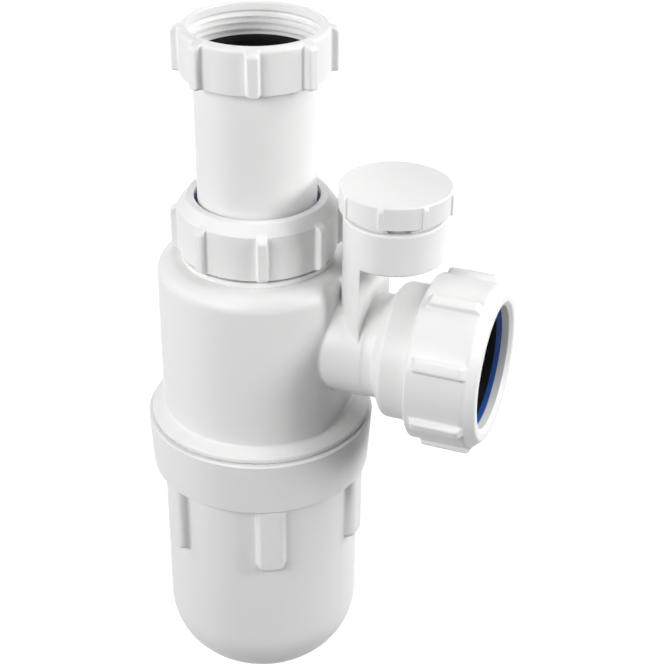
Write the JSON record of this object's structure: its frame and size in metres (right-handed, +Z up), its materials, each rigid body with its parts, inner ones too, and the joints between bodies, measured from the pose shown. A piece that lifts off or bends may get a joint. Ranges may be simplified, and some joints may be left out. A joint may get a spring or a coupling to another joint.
{
  "type": "bottle trap",
  "caption": "White plastic bottle trap with a threaded union inlet on a sliding tube, an unscrewing cup, a side outlet with a compression nut and a capped air valve.",
  "frame": {"origin": "centre of the inlet washer's top face, on the main axis, where the basin waste's tail seats", "axes": "+Z up along the inlet's axis, towards the basin waste; +X along the outlet, away from the body"},
  "size_m": [0.1331, 0.0852, 0.2638],
  "materials": {
    "nut_plastic": "smooth injection-moulded white polypropylene, gently glossy",
    "tube_plastic": "smooth extruded-looking white polypropylene, gently glossy",
    "body_plastic": "smooth injection-moulded white polypropylene, gently glossy",
    "cup_plastic": "smooth injection-moulded white polypropylene, gently glossy",
    "cap_plastic": "white polypropylene with a finely frosted top",
    "seat_plastic": "plain white plastic",
    "ring_plastic": "smooth blue plastic",
    "seal_rubber": "matt black rubber"
  },
  "bodies": {
    "inlet_nut": {"inlet_nut": "nut_plastic"},
    "inlet_tube": {"inlet_tube": "tube_plastic", "inlet_washer": "seal_rubber"},
    "trap_body": {"trap_body": "body_plastic", "valve_seat": "seat_plastic"},
    "body_rings": {"body_slip_ring": "ring_plastic", "body_seal": "seal_rubber"},
    "body_nut": {"body_nut": "nut_plastic"},
    "cup_seal": {"cup_seal": "seal_rubber"},
    "cup": {"cup": "cup_plastic"},
    "outlet_rings": {"outlet_slip_ring": "ring_plastic", "outlet_seal": "seal_rubber"},
    "outlet_nut": {"outlet_nut": "nut_plastic"},
    "valve_gasket": {"valve_gasket": "seal_rubber"},
    "valve_cap": {"valve_cap": "cap_plastic"},
    "valve_diaphragm": {"valve_diaphragm": "seal_rubber"}
  },
  "joints": [
    {"name": "inlet_swivel", "type": "hinge", "parent": "inlet_nut", "child": "inlet_tube", "pos_m": [0, 0, 0], "axis": [0, 0, 1], "continuous": true},
    {"name": "height_slide", "type": "slide", "parent": "inlet_tube", "child": "trap_body", "axis": [0, 0, 1], "range_m": [-0.04, 0.033]},
    {"name": "body_ring_slide", "type": "slide", "parent": "trap_body", "child": "body_rings", "axis": [0, 0, 1], "range_m": [0, 0.01205]},
    {"name": "body_nut_turn", "type": "hinge", "parent": "body_rings", "child": "body_nut", "pos_m": [0, 0, -0.0608], "axis": [0, 0, 1], "range_deg": [0, 1080]},
    {"name": "cup_drop", "type": "slide", "parent": "trap_body", "child": "cup_seal", "axis": [0, 0, -1], "range_m": [0, 0.01505]},
    {"name": "cup_turn", "type": "hinge", "parent": "cup_seal", "child": "cup", "pos_m": [0, 0, -0.157], "axis": [0, 0, -1], "range_deg": [0, 1080]},
    {"name": "outlet_ring_slide", "type": "slide", "parent": "trap_body", "child": "outlet_rings", "axis": [1, 0, 0], "range_m": [0, 0.01205]},
    {"name": "outlet_nut_turn", "type": "hinge", "parent": "outlet_rings", "child": "outlet_nut", "pos_m": [0.078, 0, -0.1026], "axis": [1, 0, 0], "range_deg": [0, 1080]},
    {"name": "cap_lift", "type": "slide", "parent": "trap_body", "child": "valve_gasket", "axis": [0, 0, 1], "range_m": [0, 0.00455]},
    {"name": "cap_turn", "type": "hinge", "parent": "valve_gasket", "child": "valve_cap", "pos_m": [0.0513, 0, -0.042], "axis": [0, 0, 1], "range_deg": [0, 540]},
    {"name": "diaphragm_lift", "type": "slide", "parent": "trap_body", "child": "valve_diaphragm", "axis": [0, 0, 1], "range_m": [0, 0.002]}
  ],
  "couplings": [
    {"joint": "body_ring_slide", "follows": "body_nut_turn", "m_per_rad": 0.00063662},
    {"joint": "cup_drop", "follows": "cup_turn", "m_per_rad": 0.00079577},
    {"joint": "outlet_ring_slide", "follows": "outlet_nut_turn", "m_per_rad": 0.00063662},
    {"joint": "cap_lift", "follows": "cap_turn", "m_per_rad": 0.00047746}
  ]
}
